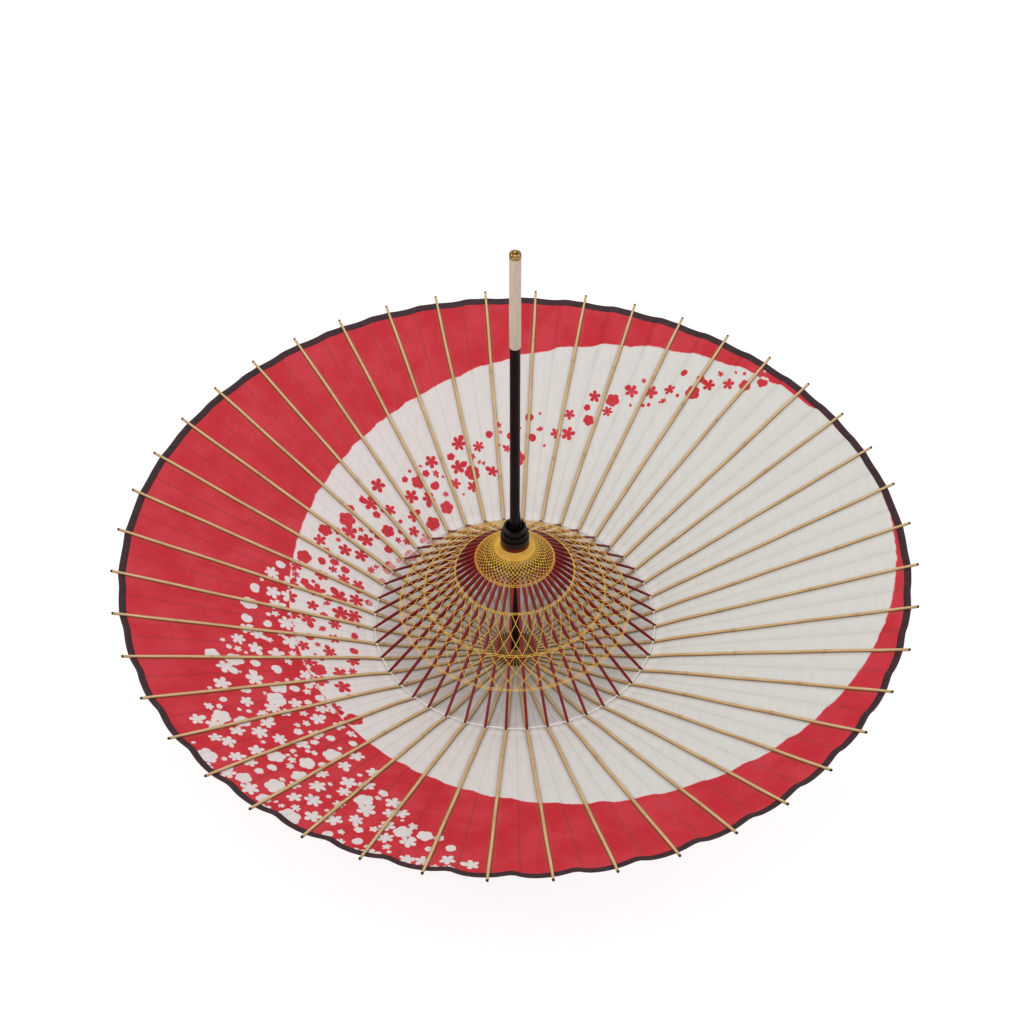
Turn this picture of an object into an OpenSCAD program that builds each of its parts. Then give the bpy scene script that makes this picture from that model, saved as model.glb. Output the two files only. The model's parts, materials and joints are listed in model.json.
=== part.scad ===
// Oil paper umbrella with bamboo ribs, standing open with its grip up.
// The shaft is the Z axis. The origin is on it, at the middle of the grip.
// Every rib turns on a thread ring in the head, every stretcher on one in the runner.

/* [Canopy and frame] */
// Radius of the circle through the rib tips
tip_r = 420; // [400:1:440]
// Radius of the paper's rim
rim_r = 411; // [390:1:415]
// Ribs around the whole canopy, each with its own stretcher
rib_count = 44; // [44:1:44]
// Height of the rib tips above the hinge ring in the head
tip_rise = 164.6; // [155:0.1:172]
// Radius of the ring of knees, where stretchers meet ribs
knee_r = 152; // [145:0.5:158]
// Height of the knees above the hinge ring in the head
knee_rise = 50.8; // [46:0.1:56]
// Thickness of the oiled paper with its glued seams
paper_t = 0.8; // [0.5:0.1:1.5]

/* [Ribs] */
// Widest part of a rib
rib_w = 3.3; // [3:0.1:3.4]
// Depth of a rib, from its paper side to its inner side
rib_depth = 3.0; // [2.6:0.1:3.2]
// Thickness of a rib's tongue in its slot of the head
rib_tongue_t = 1.0; // [0.8:0.1:1.0]
// How far the middle of a rib lies under its knee pivot
knee_drop = 2.4; // [2.2:0.1:2.8]
// Width of the slot through a rib for its stretcher's blade
rib_slot_w = 1.3; // [1.2:0.1:1.4]

/* [Stretchers] */
// Widest part of a stretcher
stretcher_w = 2.8; // [2.4:0.1:3]
// Depth of a stretcher
stretcher_depth = 2.6; // [2.2:0.1:2.6]
// Length of the thin blade at a stretcher's outer end
blade_len = 21; // [20:0.5:23]
// Thickness of the blade
blade_t = 0.9; // [0.7:0.1:0.9]
// Thickness of a stretcher's tongue in its slot of the runner
stretcher_tongue_t = 0.8; // [0.6:0.1:0.8]

/* [Shaft, grip and head] */
// Radius of the lacquered shaft
shaft_r = 5.2; // [5.1:0.1:5.4]
// Height of the umbrella from head cap to end cap, without the stud
overall_h = 580; // [560:1:600]
// Length of the grip
grip_len = 108; // [95:1:110]
// Radius of the grip and of its brass cap
grip_r = 5.8; // [5.7:0.1:6.4]
// Height of the brass cap
end_cap_h = 6.5; // [5:0.5:8]
// Height of the hinge ring above the bottom of the head cap
head_pivot_h = 26; // [24:0.5:30]
// Radius of the hinge ring in the head
head_pivot_r = 17; // [17:0.5:18]
// Outer radius of the head hub
head_r = 19.5; // [19.5:0.5:21]

/* [Runner and latch] */
// Radius of the hinge ring in the runner
runner_pivot_r = 13; // [13:0.1:13.4]
// Height of the runner's hinge ring above that of the head, umbrella open
runner_rise = 169.8; // [160:0.1:176]
// Outer radius of the runner hub
runner_r = 15.2; // [15:0.1:15.6]
// Radial clearance between shaft and runner
runner_play = 0.1; // [0.05:0.01:0.1]
// Outer radius of the black collar's lower ring
collar_r = 13.8; // [13.2:0.1:14.2]
// Outer radius of the collar's cup
cup_r = 11.8; // [11.4:0.1:12.4]
// Length of the latch leaf from its pin to its foot
latch_len = 38; // [34:1:42]
// Slope of the resting latch away from the shaft, in degrees
latch_slope = 4.6; // [4:0.1:5]

/* [Hidden] */
$fn = 64;
hosts = rib_count / 2;
function two_digits(i) = str(i < 10 ? "0" : "", i);
RIB_NODES = [for (i = [1:hosts]) str("rib_", two_digits(i))];
STRETCHER_NODES = [for (i = [1:hosts]) str("stretcher_", two_digits(i))];

pitch = 360 / rib_count;
fine = 0.01;
// Height of a cutter that goes right through a piece
through = 60;

// Heights, from the bottom of the head cap up
base_z = -(overall_h - end_cap_h - grip_len / 2);
head_z = base_z + head_pivot_h;
knee_z = head_z + knee_rise;
runner_z = head_z + runner_rise;
grip_z = -grip_len / 2;
top_z = base_z + overall_h;

// The rib in its own plane: x runs from the head pivot to the knee pivot
knee_x = norm([knee_r - head_pivot_r, knee_rise]);
rib_slope = atan2(knee_rise, knee_r - head_pivot_r);
tip_x = (tip_r - head_pivot_r) * cos(rib_slope) + tip_rise * sin(rib_slope);
tip_y = tip_rise * cos(rib_slope) - (tip_r - head_pivot_r) * sin(rib_slope);
rib_half = rib_depth / 2;
tip_half = rib_half - 0.3;
rib_tongue_r = 2;
rib_pin_r = 0.5;
rib_tongue_len = 8;
rib_shoulder_x = 16;
rib_shoulder_w = 2.1;
lug_r = 1.8;
slot_from = knee_x - 30;
slot_to = knee_x + 13;

// The paper hangs this far under the ribs, and starts this far along them
paper_gap = 0.4;
paper_from = 14;

// The stretcher in its own plane: x runs from the runner pivot to the knee pivot
stretcher_drop = runner_rise - knee_rise;
stretcher_len = norm([knee_r - runner_pivot_r, stretcher_drop]);
stretcher_slope = atan2(stretcher_drop, knee_r - runner_pivot_r);
stretcher_half = stretcher_depth / 2;
stretcher_tongue_r = 1.5;
stretcher_pin_r = 0.4;
stretcher_tongue_len = 7;
stretcher_shoulder_x = 14;
stretcher_shoulder_w = 1.5;
blade_half = 1.1;
blade_from = stretcher_len - blade_len;

// Threads
head_thread_r = rib_pin_r - 0.1;
runner_thread_r = stretcher_pin_r - 0.1;
knee_thread_r = 0.3;
lacing_r = 0.4;
lacing_at = [36, 65, 108, 143];
lacing_lift = stretcher_half + 0.3 + lacing_r;

// Head
head_slot_w = rib_tongue_t + 0.3;
slot_play = 0.3;
slot_len = 10;
head_slot_from = head_pivot_r - rib_tongue_r - slot_play;
head_top_z = head_z + 5;
head_bottom_z = head_z - 14;
shaft_foot_z = base_z + 3;
head_cap_r = 22.5;
head_cap_lip_z = head_z - 4;

// Runner
runner_bore_r = shaft_r + runner_play;
runner_slot_w = stretcher_tongue_t + 0.2;
runner_slot_from = runner_pivot_r - stretcher_tongue_r - slot_play;
runner_slot_top_z = runner_z + stretcher_tongue_r + slot_play;
runner_bottom_z = runner_z - 7;
runner_top_z = runner_z + 12;
collar_step_z = runner_top_z + 6;
collar_top_z = collar_step_z + 7.5;
cup_floor_z = collar_top_z - 9;
cup_wall = 2;
key_r = 8.2;
key_w = 3.2;

// Stud on the end cap
stud_r = 2.9;
stud_sink = 1;

// Latch
latch_w = 2.4;
latch_t = 0.9;
latch_pivot_x = 4;
latch_pin_r = 0.5;
latch_pin_len = 4.6;
latch_foot_z = cup_floor_z + 1.4;
latch_z = latch_foot_z + latch_len * cos(latch_slope);
latch_eye_r = 1.1;
latch_seat_w = latch_w + 0.4;
latch_seat_x = 1.8;
latch_seat_below = 2;
latch_seat_above = 3;

// A point of the rib's plane, given along and across the rib, as [radius, height]
function rib_point(x, y) = [
    head_pivot_r + x * cos(rib_slope) - y * sin(rib_slope),
    head_z + x * sin(rib_slope) + y * cos(rib_slope)
];
// A point of the stretcher's plane, as [radius, height]
function stretcher_point(x, y) = [
    runner_pivot_r + x * cos(stretcher_slope) + y * sin(stretcher_slope),
    runner_z - x * sin(stretcher_slope) + y * cos(stretcher_slope)
];

module across(r, w) {
    rotate([90, 0, 0])
        cylinder(r = r, h = w, center = true, $fn = 24);
}

module ring(radius, z, wire) {
    rotate_extrude()
        translate([radius, z])
            circle(r = wire, $fn = 24);
}

// Side outline of a rib: the hinge eye, the dip at the knee with its lug, the tip
module rib_side() {
    circle(r = rib_tongue_r, $fn = 32);
    polygon([
        [0, rib_half],
        [0, -rib_half],
        [knee_x, -knee_drop - rib_half],
        [tip_x, tip_y - tip_half],
        [tip_x, tip_y + tip_half],
        [knee_x + 7, -knee_drop + rib_half + 0.4],
        [knee_x, 0],
        [knee_x - 7, -knee_drop + rib_half + 0.15]
    ]);
    translate([knee_x, 0])
        circle(r = lug_r, $fn = 32);
}

// Plan outline of a rib: thin tongue, shoulders, slow swell to the knee, tapered tip
module rib_plan() {
    half = [
        [-rib_tongue_r - 1, rib_tongue_t / 2],
        [rib_tongue_len, rib_tongue_t / 2],
        [rib_shoulder_x, rib_shoulder_w / 2],
        [knee_x - 10, rib_w / 2],
        [tip_x - 12, rib_w / 2],
        [tip_x, rib_w / 2 - 0.5]
    ];
    polygon(concat(half, [for (i = [len(half) - 1:-1:0]) [half[i].x, -half[i].y]]));
}

module rib_bar() {
    difference() {
        intersection() {
            rotate([90, 0, 0])
                linear_extrude(height = 2 * rib_w, center = true)
                    rib_side();
            linear_extrude(height = through, center = true)
                rib_plan();
        }
        across(rib_pin_r, 2 * rib_w);
        translate([knee_x, 0, 0])
            across(rib_pin_r, 2 * rib_w);
        translate([slot_from, -rib_slot_w / 2, -through / 2])
            cube([slot_to - slot_from, rib_slot_w, through]);
    }
}

module rib_at(k) {
    rotate([0, 0, k * pitch])
        translate([head_pivot_r, 0, head_z])
            rotate([0, -rib_slope, 0])
                rib_bar();
}

module stretcher_side() {
    circle(r = stretcher_tongue_r, $fn = 32);
    polygon([
        [0, stretcher_half],
        [0, -stretcher_half],
        [blade_from, -stretcher_half],
        [blade_from + 3, -blade_half],
        [stretcher_len, -blade_half],
        [stretcher_len, blade_half],
        [blade_from + 3, blade_half],
        [blade_from, stretcher_half]
    ]);
    translate([stretcher_len, 0])
        circle(r = blade_half, $fn = 32);
}

module stretcher_plan() {
    half = [
        [-stretcher_tongue_r - 1, stretcher_tongue_t / 2],
        [stretcher_tongue_len, stretcher_tongue_t / 2],
        [stretcher_shoulder_x, stretcher_shoulder_w / 2],
        [blade_from - 8, stretcher_w / 2],
        [blade_from - 1, stretcher_w / 2],
        [blade_from, blade_t / 2],
        [stretcher_len + 3, blade_t / 2]
    ];
    polygon(concat(half, [for (i = [len(half) - 1:-1:0]) [half[i].x, -half[i].y]]));
}

module stretcher_bar() {
    difference() {
        intersection() {
            rotate([90, 0, 0])
                linear_extrude(height = 2 * stretcher_w, center = true)
                    stretcher_side();
            linear_extrude(height = through, center = true)
                stretcher_plan();
        }
        across(stretcher_pin_r, 2 * stretcher_w);
        translate([stretcher_len, 0, 0])
            across(rib_pin_r, 2 * stretcher_w);
    }
}

module stretcher_at(k) {
    rotate([0, 0, k * pitch])
        translate([runner_pivot_r, 0, runner_z])
            rotate([0, stretcher_slope, 0])
                stretcher_bar();
}

module shaft() {
    color([0.09, 0.03, 0.03])
        difference() {
            translate([0, 0, shaft_foot_z])
                cylinder(r = shaft_r, h = top_z - end_cap_h - shaft_foot_z);
            translate([latch_seat_x, -latch_seat_w / 2, latch_foot_z - latch_seat_below])
                cube([2 * shaft_r, latch_seat_w, latch_len + latch_seat_below + latch_seat_above]);
            translate([latch_pivot_x, 0, latch_z])
                across(latch_pin_r, 3 * shaft_r);
        }
}

module latch_pin() {
    color([0.75, 0.6, 0.3])
        translate([latch_pivot_x, 0, latch_z])
            across(latch_pin_r, latch_pin_len);
}

// The leaf hangs from its pin and slopes out of its seat, down into the cup
module latch() {
    color([0.16, 0.13, 0.11])
        translate([latch_pivot_x, 0, latch_z])
            rotate([0, -latch_slope, 0])
                difference() {
                    union() {
                        across(latch_eye_r, latch_w);
                        translate([-latch_t / 2, -latch_w / 2, -latch_len])
                            cube([latch_t, latch_w, latch_len]);
                    }
                    across(latch_pin_r + 0.05, 2 * latch_w);
                }
}

module grip() {
    color([0.82, 0.74, 0.69])
        difference() {
            translate([0, 0, grip_z])
                cylinder(r = grip_r, h = grip_len);
            translate([0, 0, grip_z - 1])
                cylinder(r = shaft_r, h = grip_len + 2);
        }
}

// Brass cap over the end of the shaft, with a domed stud
module end_cap() {
    color([0.72, 0.55, 0.25])
        union() {
            rotate_extrude()
                polygon([
                    [0, top_z - end_cap_h],
                    [grip_r, top_z - end_cap_h],
                    [grip_r, top_z - 2.5],
                    [grip_r - 1.4, top_z - 0.6],
                    [grip_r - 3, top_z],
                    [0, top_z]
                ]);
            intersection() {
                translate([0, 0, top_z - stud_sink])
                    sphere(r = stud_r, $fn = 32);
                translate([0, 0, top_z - fine])
                    cylinder(r = 2 * stud_r, h = 2 * stud_r);
            }
        }
}

module head_hub() {
    color([0.12, 0.06, 0.05])
        difference() {
            translate([0, 0, head_bottom_z])
                cylinder(r = head_r, h = head_top_z - head_bottom_z);
            translate([0, 0, head_bottom_z - 1])
                cylinder(r = shaft_r, h = through);
            for (k = [0:rib_count - 1])
                rotate([0, 0, k * pitch])
                    translate([head_slot_from, -head_slot_w / 2, head_z - rib_tongue_r - slot_play])
                        cube([slot_len, head_slot_w, through]);
            ring(head_pivot_r, head_z, rib_pin_r);
        }
}

module head_thread() {
    color([0.85, 0.8, 0.7])
        ring(head_pivot_r, head_z, head_thread_r);
}

// Lacquered cap that closes the head under the paper
module head_cap() {
    color([0.12, 0.05, 0.05])
        rotate_extrude()
            polygon([
                [shaft_r, shaft_foot_z],
                [0, shaft_foot_z],
                [0, base_z],
                [head_cap_r - 9.5, base_z],
                [head_cap_r - 3.5, base_z + 3],
                [head_cap_r, base_z + 9],
                [head_cap_r, head_cap_lip_z],
                [head_r, head_cap_lip_z],
                [head_r, head_bottom_z],
                [shaft_r, head_bottom_z]
            ]);
}

module runner_hub() {
    color([0.36, 0.03, 0.04])
        difference() {
            translate([0, 0, runner_bottom_z])
                cylinder(r = runner_r, h = runner_top_z - runner_bottom_z);
            translate([0, 0, runner_bottom_z - 1])
                cylinder(r = runner_bore_r, h = through);
            for (k = [0:rib_count - 1])
                rotate([0, 0, k * pitch])
                    translate([runner_slot_from, -runner_slot_w / 2, runner_bottom_z - 1])
                        cube([slot_len, runner_slot_w, runner_slot_top_z - runner_bottom_z + 1]);
            ring(runner_pivot_r, runner_z, stretcher_pin_r);
            translate([0, -key_w / 2, runner_bottom_z - 1])
                cube([key_r, key_w, through]);
        }
}

// Black collar: a ring on the hub and a cup open to the grip side
module runner_collar() {
    color([0.05, 0.05, 0.06])
        difference() {
            union() {
                translate([0, 0, runner_top_z])
                    cylinder(r = collar_r, h = collar_step_z - runner_top_z);
                translate([0, 0, collar_step_z - 1])
                    cylinder(r = cup_r, h = collar_top_z - collar_step_z + 1);
            }
            translate([0, 0, runner_top_z - 1])
                cylinder(r = runner_bore_r, h = through);
            translate([0, 0, cup_floor_z])
                cylinder(r = cup_r - cup_wall, h = through);
            translate([0, -key_w / 2, runner_top_z - 1])
                cube([key_r, key_w, through]);
        }
}

module runner_thread() {
    color([0.85, 0.8, 0.7])
        ring(runner_pivot_r, runner_z, runner_thread_r);
}

module lacing() {
    color([0.88, 0.62, 0.2])
        for (x = lacing_at) {
            p = stretcher_point(x, lacing_lift);
            ring(p.x, p.y, lacing_r);
        }
}

module knee_thread() {
    color([0.9, 0.88, 0.84])
        ring(knee_r, knee_z, knee_thread_r);
}

// Paper cone glued along the paper side of the ribs
module canopy() {
    rim_x = tip_x - (tip_r - rim_r) / cos(rib_slope);
    rim_y = tip_y - tip_half - (tip_r - rim_r) * 0.05;
    top = [
        rib_point(paper_from, -rib_half - 2 * paper_gap),
        rib_point(knee_x, -knee_drop - rib_half - paper_gap),
        rib_point(rim_x, rim_y - paper_gap)
    ];
    color([0.84, 0.2, 0.24])
        rotate_extrude($fn = 132)
            polygon([
                top[0],
                top[1],
                top[2],
                top[2] - [0, paper_t],
                top[1] - [0, paper_t],
                top[0] - [0, paper_t]
            ]);
}

module between_ribs() {
    color([0.78, 0.65, 0.45])
        for (i = [1:hosts])
            rib_at(2 * i - 1);
}

module between_stretchers() {
    color([0.43, 0.02, 0.03])
        for (i = [1:hosts])
            stretcher_at(2 * i - 1);
}

module host_rib(i) {
    color([0.78, 0.65, 0.45])
        rib_at(2 * i - 2);
}

module host_stretcher(i) {
    color([0.43, 0.02, 0.03])
        stretcher_at(2 * i - 2);
}

shaft();
grip();
end_cap();
latch();
latch_pin();
head_hub();
head_thread();
head_cap();
runner_hub();
runner_collar();
runner_thread();
lacing();
canopy();
knee_thread();
between_ribs();
between_stretchers();
for (i = [1:hosts]) {
    host_rib(i);
    host_stretcher(i);
}
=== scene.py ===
import json
import math
import random
from collections import namedtuple
from functools import partial

import bmesh
import bpy
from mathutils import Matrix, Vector


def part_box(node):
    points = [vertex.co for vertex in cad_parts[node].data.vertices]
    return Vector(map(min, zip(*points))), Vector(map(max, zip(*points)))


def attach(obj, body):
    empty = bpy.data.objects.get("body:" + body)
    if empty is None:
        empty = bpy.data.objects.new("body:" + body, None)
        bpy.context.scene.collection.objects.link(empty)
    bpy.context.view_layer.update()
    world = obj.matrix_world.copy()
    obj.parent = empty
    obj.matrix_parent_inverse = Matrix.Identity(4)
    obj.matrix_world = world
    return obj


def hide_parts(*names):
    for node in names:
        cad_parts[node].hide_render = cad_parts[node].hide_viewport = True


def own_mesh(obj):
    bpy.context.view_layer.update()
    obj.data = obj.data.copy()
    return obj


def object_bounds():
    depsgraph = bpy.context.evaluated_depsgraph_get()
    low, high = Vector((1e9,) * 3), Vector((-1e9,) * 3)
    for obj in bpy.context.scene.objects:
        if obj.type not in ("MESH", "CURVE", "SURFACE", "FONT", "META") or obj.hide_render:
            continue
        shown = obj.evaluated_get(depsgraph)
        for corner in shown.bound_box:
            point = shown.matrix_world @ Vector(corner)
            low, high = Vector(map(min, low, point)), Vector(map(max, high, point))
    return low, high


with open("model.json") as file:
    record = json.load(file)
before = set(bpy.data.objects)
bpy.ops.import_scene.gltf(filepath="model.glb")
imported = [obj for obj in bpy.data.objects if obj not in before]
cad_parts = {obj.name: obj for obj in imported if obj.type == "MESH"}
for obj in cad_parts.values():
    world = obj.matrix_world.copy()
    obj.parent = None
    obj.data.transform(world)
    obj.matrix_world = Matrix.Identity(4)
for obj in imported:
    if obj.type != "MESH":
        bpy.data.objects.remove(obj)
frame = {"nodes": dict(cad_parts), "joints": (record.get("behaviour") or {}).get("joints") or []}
cad_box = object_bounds()

# ---------------------------------------------------------------- sizes, in millimetres
MM = 0.001
JOINTS = {j["name"]: j for j in frame["joints"]}


def mm(vector):
    return [c / MM for c in vector]


HEAD_R, _, HEAD_Z = mm(JOINTS["rib_01_hinge"]["pos_m"])
RUNNER_R, _, RUNNER_Z = mm(JOINTS["stretcher_01_hinge"]["pos_m"])
KNEE_LOW, KNEE_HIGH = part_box("knee_thread")
KNEE_THREAD = (KNEE_HIGH.z - KNEE_LOW.z) / 2 / MM
KNEE_R = KNEE_HIGH.x / MM - KNEE_THREAD
KNEE_Z = (KNEE_HIGH.z + KNEE_LOW.z) / 2 / MM
TIP_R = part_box("rib_01")[1].x / MM
RIM_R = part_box("canopy")[1].x / MM
BASE_Z = cad_box[0].z / MM
GRIP_LOW, GRIP_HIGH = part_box("grip")
GRIP_R = GRIP_HIGH.x / MM
GRIP_TOP = GRIP_HIGH.z / MM
GRIP_BOTTOM = GRIP_LOW.z / MM
SHAFT_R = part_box("shaft")[1].x / MM
RUNNER_RED = 12.3
RUNNER_RED_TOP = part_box("runner_hub")[0].z / MM + RUNNER_RED

# HOSTS ribs are CAD bodies, each with one more rib between it and the next; angles are in degrees
HOSTS = 22
PITCH = 180 / HOSTS
SECTOR = 2 * PITCH
RIB_W = 3.3
RIB_D = 3.0
RIB_HINGE_W = 1.0
RIB_NECK_W = 2.1
KNEE_DROP = 2.4
TIP_RISE = 164.6
STRETCHER_W = 2.8
STRETCHER_D = 2.6
STRETCHER_HINGE_W = 0.8
STRETCHER_NECK_W = 1.5
STRETCHER_FLARE = 2.0

# A rib's x axis runs from its hinge through the knee, and a stretcher's from its hinge to the knee
RIB_SLOPE = math.atan2(KNEE_Z - HEAD_Z, KNEE_R - HEAD_R)
KNEE_X = math.hypot(KNEE_Z - HEAD_Z, KNEE_R - HEAD_R)
TIP_X = (TIP_R - HEAD_R) * math.cos(RIB_SLOPE) + TIP_RISE * math.sin(RIB_SLOPE)
TIP_Y = TIP_RISE * math.cos(RIB_SLOPE) - (TIP_R - HEAD_R) * math.sin(RIB_SLOPE)
RIM_X = TIP_X - (TIP_R - RIM_R) / math.cos(RIB_SLOPE)
STRETCHER_SLOPE = math.atan2(RUNNER_Z - KNEE_Z, KNEE_R - RUNNER_R)
STRETCHER_LEN = math.hypot(RUNNER_Z - KNEE_Z, KNEE_R - RUNNER_R)

# ---------------------------------------------------------------- camera
# In metres, but SENSOR and LENS in millimetres. SPAN is the reach of the rib tips, and FOOT the
# height near the ribs' hinges that the camera was fitted from.
SPAN = 0.42
FOOT = -0.4999
VIEW_TURN = math.radians(3.345)
VIEW_HEIGHT = math.radians(49.242)
VIEW_DISTANCE = 5.4979 * SPAN
AIM = (-0.0070 * SPAN, 0, FOOT + 0.5290 * SPAN)
SENSOR = 36
LENS = 73.27
CLIP_END = 50


def turned(x, y, z, angle):
    """A point turned round the shaft."""
    c, s = math.cos(angle), math.sin(angle)
    return Vector((x * c - y * s, x * s + y * c, z))


def make_camera():
    data = bpy.data.cameras.new("camera")
    camera = bpy.data.objects.new("camera", data)
    bpy.context.scene.collection.objects.link(camera)
    flat = VIEW_DISTANCE * math.cos(VIEW_HEIGHT)
    high = FOOT + VIEW_DISTANCE * math.sin(VIEW_HEIGHT)
    camera.location = turned(0, -flat, high, VIEW_TURN)
    aim = turned(*AIM, VIEW_TURN)
    camera.rotation_euler = (aim - camera.location).to_track_quat("-Z", "Y").to_euler()
    data.sensor_width = SENSOR
    data.lens = LENS
    data.clip_end = CLIP_END
    bpy.context.scene.camera = camera


make_camera()


# ---------------------------------------------------------------- materials
def srgb(red, green, blue):
    """An 8-bit screen colour as a linear RGBA colour."""
    def linear(v):
        v /= 255
        return v / 12.92 if v <= 0.04045 else ((v + 0.055) / 1.055) ** 2.4
    return (linear(red), linear(green), linear(blue), 1)


# Where a Mix node keeps its colour sockets
MIX_SHARE, MIX_FIRST, MIX_SECOND, MIX_RESULT = 0, 6, 7, 2


class Finish:
    """A material with one Principled shader, and short calls that add its nodes."""

    def __init__(self, name, **constants):
        self.material = bpy.data.materials.new(name)
        self.material.use_nodes = True
        self.tree = self.material.node_tree
        self.shader = self.tree.nodes["Principled BSDF"]
        for socket, value in constants.items():
            self.shader.inputs[socket.replace("_", " ")].default_value = value

    def put(self, socket, value):
        if isinstance(value, bpy.types.NodeSocket):
            self.tree.links.new(value, socket)
        else:
            socket.default_value = value

    def node(self, kind, inputs=(), **settings):
        n = self.tree.nodes.new("ShaderNode" + kind)
        for key, value in settings.items():
            setattr(n, key, value)
        for key, value in dict(inputs).items():
            self.put(n.inputs[key], value)
        return n

    def math(self, operation, *values):
        n = self.node("Math", operation=operation)
        for socket, value in zip(n.inputs, values):
            self.put(socket, value)
        return n.outputs[0]

    def vector(self, operation, *values):
        n = self.node("VectorMath", operation=operation)
        for socket, value in zip(n.inputs, values):
            self.put(socket, value)
        return n.outputs["Value" if operation in ("LENGTH", "DISTANCE") else "Vector"]

    def step(self, value, low, high):
        """0 below low, 1 above high, smooth between."""
        n = self.node("MapRange", interpolation_type="SMOOTHSTEP", clamp=True)
        self.put(n.inputs["Value"], value)
        self.put(n.inputs["From Min"], low)
        self.put(n.inputs["From Max"], high)
        return n.outputs["Result"]

    def between(self, value, low, high):
        """A 0..1 value spread to low..high."""
        return self.math("MULTIPLY_ADD", value, high - low, low)

    def mix(self, share, first, second):
        """The first colour where share is 0, the second where it is 1."""
        n = self.node("Mix", data_type="RGBA")
        for index, value in ((MIX_SHARE, share), (MIX_FIRST, first), (MIX_SECOND, second)):
            self.put(n.inputs[index], value)
        return n.outputs[MIX_RESULT]

    def noise(self, where, scale, detail=3, rough=0.5, stretch=None):
        if stretch:
            where = self.vector("MULTIPLY", where, stretch)
        inputs = {"Vector": where, "Scale": scale, "Detail": detail, "Roughness": rough}
        return self.node("TexNoise", inputs).outputs["Fac"]

    def place(self):
        return self.node("TexCoord").outputs["Object"]

    def uv(self, name):
        return self.node("UVMap", uv_map=name).outputs["UV"]

    def split(self, where):
        return self.node("SeparateXYZ", {"Vector": where}).outputs

    def mask(self, name):
        return self.node("Attribute", attribute_name=name).outputs["Fac"]

    def colour(self, value):
        self.put(self.shader.inputs["Base Color"], value)

    def roughness(self, value):
        self.put(self.shader.inputs["Roughness"], value)

    def bump(self, height, depth, strength):
        """height is 0..1, and depth what 1 stands for, in metres."""
        n = self.node("Bump", {"Height": height, "Distance": depth, "Strength": strength})
        self.put(self.shader.inputs["Normal"], n.outputs["Normal"])


# The print, in plan: lengths are shares of SPAN, measured from the shaft
MOON = (0.1845, 0.0794)
MOON_R = 0.767
SWEEP_OUT = (0.435, -0.417)
SWEEP_OUT_R = 1.163
SWEEP_IN = (0.493, -0.21)
SWEEP_IN_R = 0.881
SWEEP_EDGE = 0.002
PETAL_EDGE = 0.0012
MOON_EDGE = (0.003, 0.007)

# Each scatter has a grid of cells to one SPAN, moved by shift, with blossoms of this radius
Scatter = namedtuple("Scatter", "cells size shift")
LARGE = Scatter(19, 0.028, 0.0)
SMALL = Scatter(33, 0.0145, 3.7)
DOTS = Scatter(56, 0.0085, 8.1)
JITTER = 0.55


def cell_point(f, plan, grid):
    """A jittered grid of points: the nearest point to plan, and three chances that go with it."""
    move = (grid.shift, grid.shift / 2, 0)
    inputs = {"Vector": f.vector("ADD", plan, move), "Scale": grid.cells, "Randomness": JITTER}
    cell = f.node("TexVoronoi", inputs, voronoi_dimensions="2D")
    return f.vector("SUBTRACT", cell.outputs["Position"], move), f.split(cell.outputs["Color"])


def petal_reach(f, angle, kind, grow):
    """How far a blossom reaches at an angle, as a share of its radius: kind says which of
    three shapes it has, a full plum flower, a bud or an open flower."""
    petals = f.math("ADD", f.math("GREATER_THAN", kind, 0.8), 5)
    wave = f.math("MULTIPLY", angle, f.math("MULTIPLY", petals, 0.5))
    wave = f.math("ABSOLUTE", f.math("COSINE", wave))
    plum = f.math("LESS_THAN", kind, 0.2)
    bud = f.math("SUBTRACT", f.math("LESS_THAN", kind, 0.34), plum)
    flower = f.math("SUBTRACT", 1, f.math("ADD", plum, bud))
    lopsided = f.math("GREATER_THAN", f.math("FRACT", f.math("MULTIPLY", grow, 7.7)), 0.55)
    lean = f.math("POWER", f.math("MAXIMUM", f.math("COSINE", angle), 0), 3)
    lean = f.math("MULTIPLY", lean, lopsided)
    open_reach = f.math("MULTIPLY_ADD", f.math("POWER", wave, 0.52), 0.68, 0.2)
    open_reach = f.math("MULTIPLY", open_reach, f.math("MULTIPLY_ADD", lean, 0.5, 0.9))
    plum_reach = f.math("MULTIPLY_ADD", f.math("POWER", wave, 0.7), 0.2, 0.72)
    half_turn = f.math("ABSOLUTE", f.math("SINE", f.math("MULTIPLY", angle, 0.5)))
    bud_reach = f.math("MULTIPLY_ADD", half_turn, 0.34, 0.24)
    reach = f.math("MULTIPLY", plum, plum_reach)
    reach = f.math("MULTIPLY_ADD", bud, bud_reach, reach)
    return f.math("MULTIPLY_ADD", flower, open_reach, reach)


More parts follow.
